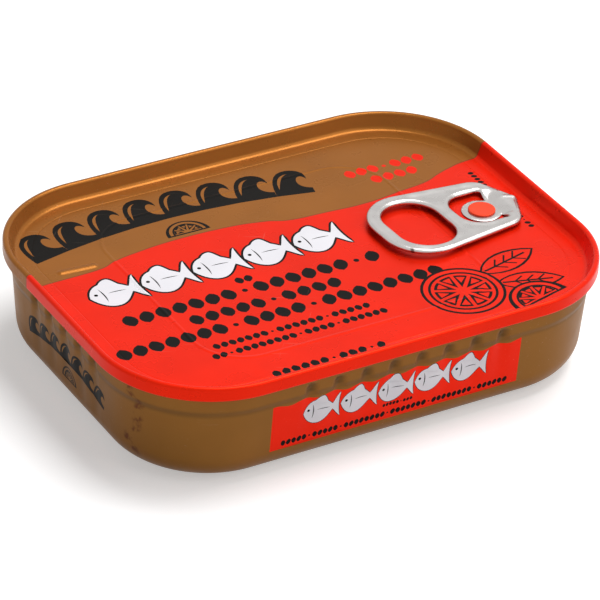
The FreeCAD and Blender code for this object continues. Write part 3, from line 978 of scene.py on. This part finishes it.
def build_tab(material):
    """The ring-pull: rolled edges round each opening, filled in between by two skins."""
    loops = [rounded_polygon(TAB_OUTLINE), rounded_polygon(FINGER_HOLE), slot_outline()]
    inward = (-1, 1, 1)
    steps = 7
    points, faces = [], []
    rims = {1: [], -1: []}
    for loop, way in zip(loops, inward):
        rings = {}
        for half in (1, -1):
            for k in range(steps + 1):
                if k == 0 and half < 0:
                    rings[(half, 0)] = rings[(1, 0)]
                    continue
                angle = math.pi / 2 * k / steps
                moved = grown(loop, way * TAB_ROLL * (1 - math.cos(angle)))
                xs, ys = np.array(moved).T
                top, low = tab_levels(xs, ys)
                z = (top + low) / 2 + half * (top - low) / 2 * math.sin(angle)
                rings[(half, k)] = list(range(len(points), len(points) + len(moved)))
                points += list(zip(xs, ys, z))
            for k in range(steps):
                a, b = rings[(half, k)], rings[(half, k + 1)]
                for i in range(len(a)):
                    j = (i + 1) % len(a)
                    quad = (a[i], a[j], b[j], b[i])
                    faces.append(quad if half * way < 0 else quad[::-1])
            rims[half].append(rings[(half, steps)])
    flat_loops = [[points[n][:2] for n in rim] for rim in rims[1]]
    xs = np.arange(TAB_OUTLINE[0][0], TAB_NOSE, TAB_GRID)
    ys = np.arange(TAB_OUTLINE[0][1], TAB_OUTLINE[-1][1], TAB_GRID)
    spare = [(float(x), float(y)) for x in xs for y in ys if inside(flat_loops[0], x, y)]
    cuts = [(DARK, flat_loops[1]), (DARK, flat_loops[2])]
    found, triangles, regions, origins = cut_regions(flat_loops[0], spare, cuts)
    starts = [(0, len(flat_loops[0]), True)]
    first = len(flat_loops[0]) + len(spare)
    for loop in flat_loops[1:]:
        starts.append((first, len(loop), signed_area(loop) > 0))
        first += len(loop)
    for half in (1, -1):
        numbers = []
        for vertex, origin in zip(found, origins):
            known = None
            for n in origin:
                for rim, (start, size, kept) in zip(rims[half], starts):
                    if start <= n < start + size:
                        known = rim[n - start if kept else start + size - 1 - n]
            if known is None:
                top, low = tab_levels(vertex[0], vertex[1])
                known = len(points)
                points.append((vertex[0], vertex[1], float(top if half > 0 else low)))
            numbers.append(known)
        for triangle, region in zip(triangles, regions):
            if region == LACQUER:
                corners = tuple(numbers[v] for v in triangle)
                faces.append(corners if half > 0 else corners[::-1])
    c, s = math.cos(TAB_TURN), math.sin(TAB_TURN)
    turned = [(RIVET_X + c * x - s * y, RIVET_Y + s * x + c * y, PANEL_Z + z) for x, y, z in points]
    return add_piece("pull_tab", turned, faces, [material])


def inside(loop, x, y):
    """True inside a convex anticlockwise loop, a little way in from its edge."""
    p = np.array(loop)
    q = np.roll(p, -1, axis=0)
    edge = q - p
    length = np.linalg.norm(edge, axis=1) + 1e-12
    cross = (edge[:, 0] * (y - p[:, 1]) - edge[:, 1] * (x - p[:, 0])) / length
    return bool(np.all(cross > INSIDE_MARGIN))


def merge_close(mesh):
    work = bmesh.new()
    work.from_mesh(mesh)
    bmesh.ops.remove_doubles(work, verts=work.verts, dist=1e-6)
    work.to_mesh(mesh)
    work.free()


# ---------- materials

GOLD = (0.335, 0.120, 0.021, 1)
# The body's olive gold, set darker than the lid's gold as painted shade on the upright walls
WALL_GOLD_WITH_PAINTED_SHADE = (0.272, 0.116, 0.024, 1)
# Painted shade: the dark gold laid in the flute tops and under the shoulder
GOLD_PAINTED_SHADE = (0.085, 0.046, 0.016, 1)
RUST = (0.10, 0.020, 0.008, 1)
LID_RED = (0.90, 0.020, 0.003, 1)
RIVET_RED = (0.95, 0.085, 0.035, 1)
INK_DARK = (0.006, 0.005, 0.004, 1)
INK_WHITE = (0.90, 0.885, 0.93, 1)
LID_SPLIT = ((-54, 12.0), (-49, 12.3), (-37, 12.7), (-33, 14), (-28, 15), (-18, 15.9), (-9, 15.7),
             (0, 14.3), (6, 12.4), (13, 12), (20, 11.6), (30, 12.6), (35, 13.2), (40, 15), (43, 16),
             (48, 17), (54, 17.2))
SPLIT_EDGE = (0.16, 0.05, 0.025, 1)
BARE_METAL = (0.75, 0.60, 0.48, 1)
CLOUD_BRIGHT = (1.0, 1.0, 1.0, 1)
CLOUD_DIM = (0.90, 0.90, 0.90, 1)
ALUMINIUM_DARK = (0.455, 0.435, 0.42, 1)
ALUMINIUM_PALE = (0.57, 0.55, 0.535, 1)
NICK_DARK = (0.06, 0.045, 0.04, 1)

# In millimetres: the join of the curled ring, and the rusty rub and the way across it
NICK_X = 18.9
NICK_Y = -10.1
RUST_X = -49.6
RUST_Y = -24.3
RUST_ACROSS = (0.35, -0.937)


class Shader:
    """Builds one node material with few words."""

    def __init__(self, name):
        self.material = bpy.data.materials.new(name)
        self.material.use_nodes = True
        self.tree = self.material.node_tree
        self.surface = self.tree.nodes["Principled BSDF"]
        self.place = self.tree.nodes.new("ShaderNodeTexCoord").outputs["Object"]

    def node(self, kind, inputs, **settings):
        made = self.tree.nodes.new("ShaderNode" + kind)
        for name, value in settings.items():
            setattr(made, name, value)
        for socket, value in inputs.items():
            if isinstance(value, bpy.types.NodeSocket):
                self.tree.links.new(value, made.inputs[socket])
            else:
                made.inputs[socket].default_value = value
        return made

    def set(self, **values):
        for name, value in values.items():
            socket = self.surface.inputs[name.replace("_", " ")]
            if isinstance(value, bpy.types.NodeSocket):
                self.tree.links.new(value, socket)
            else:
                socket.default_value = value

    def noise(self, size, detail=2.0, stretch=(1, 1, 1), turn=0.0, seed=0.0):
        """Cloudy noise whose lumps are about size millimetres."""
        scale = tuple(1 / (size * MM * s) for s in stretch)
        turned = self.node("Mapping", {"Vector": self.place, "Rotation": (0, 0, turn)})
        moved = self.node("Mapping", {"Vector": turned.outputs[0], "Location": (seed, seed, seed),
                                      "Scale": scale})
        made = self.node("TexNoise", {"Vector": moved.outputs[0], "Scale": 1.0, "Detail": detail})
        return made.outputs[0]

    def fade(self, value, low, high, out_low=0.0, out_high=1.0):
        made = self.node("MapRange", {"Value": value, "From Min": low, "From Max": high,
                                      "To Min": out_low, "To Max": out_high})
        return made.outputs[0]

    def math(self, operation, a, b=0.0):
        return self.node("Math", {0: a, 1: b}, operation=operation).outputs[0]

    def times(self, a, b):
        return self.math("MULTIPLY", a, b)

    def blend(self, share, a, b):
        made = self.node("Mix", {0: share, 6: a, 7: b}, data_type="RGBA")
        return made.outputs[2]

    def bump(self, height, strength, distance):
        made = self.node("Bump", {"Height": height, "Strength": strength, "Distance": distance * MM})
        self.set(Normal=made.outputs[0])

    def axes(self):
        return self.node("SeparateXYZ", {"Vector": self.place}).outputs


def gloss(shader, colour, metal=0.4, roughness=0.29, wear=0.3):
    """Baked lacquer over tinplate: cloudy tone, fine rub marks and a fine grain."""
    cloud = shader.blend(shader.fade(shader.noise(14, 3), 0.3, 0.7), CLOUD_DIM, CLOUD_BRIGHT)
    tinted = shader.node("Mix", {0: 1.0, 6: colour, 7: cloud},
                         data_type="RGBA", blend_type="MULTIPLY").outputs[2]
    rub = shader.noise(0.25, 2, (40, 1, 1), math.radians(28), 3.0)
    second = shader.noise(0.3, 2, (30, 1, 1), math.radians(-52), 7.0)
    patches = shader.fade(shader.noise(22, 2, seed=5.0), 0.5, 0.68)
    lines = shader.math("MAXIMUM", shader.fade(rub, 0.70, 0.78), shader.fade(second, 0.72, 0.8))
    share = shader.times(shader.times(lines, patches), wear)
    uneven = shader.fade(shader.noise(6, 3, seed=2.0), 0.3, 0.7, roughness - 0.05, roughness + 0.06)
    shader.set(Base_Color=shader.blend(share, tinted, BARE_METAL), Roughness=uneven)
    shader.set(Metallic=metal, Specular_IOR_Level=0.05)
    shader.bump(shader.noise(0.9, 3), 0.2, 0.02)
    return shader.material


def lid_lacquer():
    """Gold towards +Y and red towards -Y, parted by a curling line across the whole lid."""
    shader = Shader("lid_lacquer")
    x, y, _ = shader.axes()
    low_x, high_x = LID_SPLIT[0][0], LID_SPLIT[-1][0]
    low_y, high_y = 10.0, 20.0
    curve = shader.node("FloatCurve", {"Factor": 1.0, "Value": shader.fade(x, low_x * MM, high_x * MM)})
    line = curve.mapping.curves[0]
    spots = [((px - low_x) / (high_x - low_x), (py - low_y) / (high_y - low_y)) for px, py in LID_SPLIT]
    line.points[0].location = spots[0]
    line.points[-1].location = spots[-1]
    for spot in spots[1:-1]:
        line.points.new(*spot)
    curve.mapping.update()
    border = shader.fade(curve.outputs[0], 0.0, 1.0, low_y * MM, high_y * MM)
    above = shader.math("SUBTRACT", y, border)
    gold_share = shader.fade(above, -0.02 * MM, 0.02 * MM)
    near = shader.fade(shader.math("ABSOLUTE", above), 0.10 * MM, 0.2 * MM, 0.55, 0.0)
    colour = shader.blend(gold_share, LID_RED, GOLD)
    colour = shader.blend(near, colour, SPLIT_EDGE)
    return gloss(shader, colour)


def can_lacquer():
    """Olive gold set darker as painted shade for the walls, with more painted shade in the round flute
    tops and in a band under the shoulder, and one rusty rub on a corner.
    """
    shader = Shader("can_lacquer")
    x, y, z = shader.axes()
    # Painted shade: darkest in the round flute tops, lighter in a band under the shoulder
    flute_shade = shader.node("Attribute", {}, attribute_name="painted_flute_shade").outputs["Fac"]
    above = shader.fade(z, 15.0 * MM, 15.7 * MM)
    shoulder_shade = shader.times(above, shader.fade(z, 16.4 * MM, 17.0 * MM, 1.0, 0.0))
    painted_shade = shader.math("MAXIMUM", shader.times(flute_shade, 0.75), shader.times(shoulder_shade, 0.35))
    colour = shader.blend(painted_shade, WALL_GOLD_WITH_PAINTED_SHADE, GOLD_PAINTED_SHADE)
    along_x = shader.times(shader.math("SUBTRACT", x, RUST_X * MM), RUST_ACROSS[0])
    along_y = shader.times(shader.math("SUBTRACT", y, RUST_Y * MM), RUST_ACROSS[1])
    across = shader.math("ADD", along_x, along_y)
    wander = shader.fade(shader.noise(5.0, 3, (40, 40, 1), seed=4.0), 0.3, 0.7, -2.2 * MM, 2.2 * MM)
    away = shader.math("ABSOLUTE", shader.math("ADD", across, wander))
    streak = shader.fade(away, 0.35 * MM, 1.3 * MM, 1.0, 0.0)
    patchy = shader.fade(shader.noise(1.6, 4, seed=9.0), 0.44, 0.56)
    here = shader.times(shader.fade(x, -44 * MM, -46 * MM), shader.fade(y, -15 * MM, -18 * MM))
    tall = shader.times(shader.fade(z, 20 * MM, 18.5 * MM), shader.fade(z, 2.5 * MM, 4.5 * MM))
    rust = shader.times(shader.times(streak, patchy), shader.times(here, tall))
    colour = shader.blend(shader.times(rust, 0.75), colour, RUST)
    return gloss(shader, colour, metal=0.4, roughness=0.38, wear=0.25)


def ink(name, colour, metal_share=0.0):
    return gloss(Shader(name), colour, metal_share, roughness=0.36, wear=0.2)


def aluminium():
    """Satin aluminium strip, with the open join of the curled ring as a dark nick."""
    shader = Shader("tab_aluminium")
    fine = shader.noise(0.25, 2, (12, 1, 1), seed=1.0)
    blotch = shader.noise(3.0, 3, seed=6.0)
    tone = shader.blend(blotch, ALUMINIUM_DARK, ALUMINIUM_PALE)
    x, y, _ = shader.axes()
    along = shader.math("ABSOLUTE", shader.math("SUBTRACT", x, NICK_X * MM))
    narrow = shader.fade(along, 0.16 * MM, 0.34 * MM, 1.0, 0.0)
    nick = shader.times(narrow, shader.fade(y, (NICK_Y + 1.1) * MM, (NICK_Y + 0.5) * MM))
    tone = shader.blend(shader.times(nick, 0.85), tone, NICK_DARK)
    shader.set(Base_Color=tone, Metallic=1.0)
    shader.set(Roughness=shader.fade(blotch, 0.3, 0.7, 0.24, 0.34))
    shader.bump(shader.math("ADD", fine, blotch), 0.3, 0.02)
    return shader.material


# ---------- pieces

gold_lacquer = can_lacquer()
top_lacquer = lid_lacquer()
dark_ink = ink("dark_ink", INK_DARK)
white_ink = ink("white_ink", INK_WHITE)
red_ink = ink("red_ink", LID_RED, 0.4)
metal = aluminium()

body = build_body([gold_lacquer, dark_ink, white_ink, red_ink])
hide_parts("body")
lid = build_lid([top_lacquer, dark_ink, white_ink, red_ink])
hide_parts("lid")
build_rivet(ink("rivet_red", RIVET_RED, 0.2))
tab = build_tab(metal)
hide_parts("tab")


# ---------- stage, lights and camera

# In metres, but for the colour and the lift
FLOOR_SIZE = 6.0
FLOOR_GAP = 0.0002
FLOOR_COLOUR = (0.8, 0.8, 0.8, 1)
FLOOR_LIFT = 0.42
FLOOR_NEAR = 0.25
FLOOR_FAR = 0.55


def white_to_camera(tree):
    """1 for the rays that see the background itself: camera, glossy and transmission rays."""
    rays = tree.nodes.new("ShaderNodeLightPath").outputs
    share = rays["Is Camera Ray"]
    for name in ("Is Glossy Ray", "Is Transmission Ray"):
        larger = tree.nodes.new("ShaderNodeMath")
        larger.operation = "MAXIMUM"
        tree.links.new(share, larger.inputs[0])
        tree.links.new(rays[name], larger.inputs[1])
        share = larger.outputs[0]
    return share


def build_floor():
    """A pale floor that keeps the shadow near the tin and fades to white further out."""
    mesh = bpy.data.meshes.new("floor")
    half = FLOOR_SIZE / 2
    corners = [(-half, -half, 0), (half, -half, 0), (half, half, 0), (-half, half, 0)]
    mesh.from_pydata(corners, [], [(0, 1, 2, 3)])
    floor = bpy.data.objects.new("floor", mesh)
    floor.location.z = -FLOOR_GAP
    bpy.context.scene.collection.objects.link(floor)
    shader = Shader("pale_floor")
    shader.set(Base_Color=FLOOR_COLOUR, Roughness=0.9, Specular_IOR_Level=0.0)
    away = shader.node("VectorMath", {0: shader.place}, operation="LENGTH").outputs["Value"]
    glow = shader.fade(away, FLOOR_NEAR, FLOOR_FAR, FLOOR_LIFT, 1.0)
    lift = shader.times(white_to_camera(shader.tree), glow)
    shader.set(Emission_Color=(1, 1, 1, 1), Emission_Strength=lift)
    mesh.materials.append(shader.material)


def build_world(strength):
    world = bpy.data.worlds.new("studio")
    world.use_nodes = True
    tree = world.node_tree
    background = tree.nodes["Background"]
    background.inputs["Color"].default_value = (1, 1, 1, 1)
    level = tree.nodes.new("ShaderNodeMapRange")
    tree.links.new(white_to_camera(tree), level.inputs["Value"])
    level.inputs["To Min"].default_value = strength
    level.inputs["To Max"].default_value = 1.0
    tree.links.new(level.outputs[0], background.inputs["Strength"])
    bpy.context.scene.world = world


def soft_light(name, azimuth, elevation, distance, size, power):
    """A square softbox that faces the tin from a direction; azimuth 0 is +X and 90 is +Y."""
    a, e = math.radians(azimuth), math.radians(elevation)
    way = Vector((math.cos(a) * math.cos(e), math.sin(a) * math.cos(e), math.sin(e)))
    data = bpy.data.lights.new(name, "AREA")
    data.shape = "SQUARE"
    data.size = size
    data.energy = power
    lamp = bpy.data.objects.new(name, data)
    lamp.location = way * distance
    lamp.rotation_euler = way.to_track_quat("Z", "Y").to_euler()
    bpy.context.scene.collection.objects.link(lamp)


CAMERA_AZIMUTH = math.radians(-31.262)
CAMERA_ELEVATION = math.radians(32.132)
CAMERA_ROLL = math.radians(2.658)
CAMERA_DISTANCE = 0.76933
CAMERA_LENS = 240.0
CAMERA_SHIFT = (0.0017, -0.0021)
CAMERA_TARGET = Vector((0, 0, 0.010))


def build_camera():
    data = bpy.data.cameras.new("camera")
    data.sensor_width = 36.0
    data.lens = CAMERA_LENS
    data.shift_x, data.shift_y = CAMERA_SHIFT
    data.clip_start = 0.01
    camera = bpy.data.objects.new("camera", data)
    az, el = CAMERA_AZIMUTH, CAMERA_ELEVATION
    back = Vector((math.sin(az) * math.cos(el), -math.cos(az) * math.cos(el), math.sin(el)))
    right = Vector((math.cos(az), math.sin(az), 0))
    up = back.cross(right)
    c, s = math.cos(CAMERA_ROLL), math.sin(CAMERA_ROLL)
    axes = Matrix((right * c + up * s, up * c - right * s, back)).transposed()
    camera.matrix_world = Matrix.Translation(CAMERA_TARGET + back * CAMERA_DISTANCE) @ axes.to_4x4()
    bpy.context.scene.collection.objects.link(camera)
    bpy.context.scene.camera = camera


build_floor()
build_world(0.18)
soft_light("key", azimuth=8, elevation=70, distance=1.2, size=0.7, power=12.3)
soft_light("front_fill", azimuth=-48, elevation=40, distance=1.3, size=0.9, power=4.2)
build_camera()
bpy.context.scene.view_settings.view_transform = "Standard"
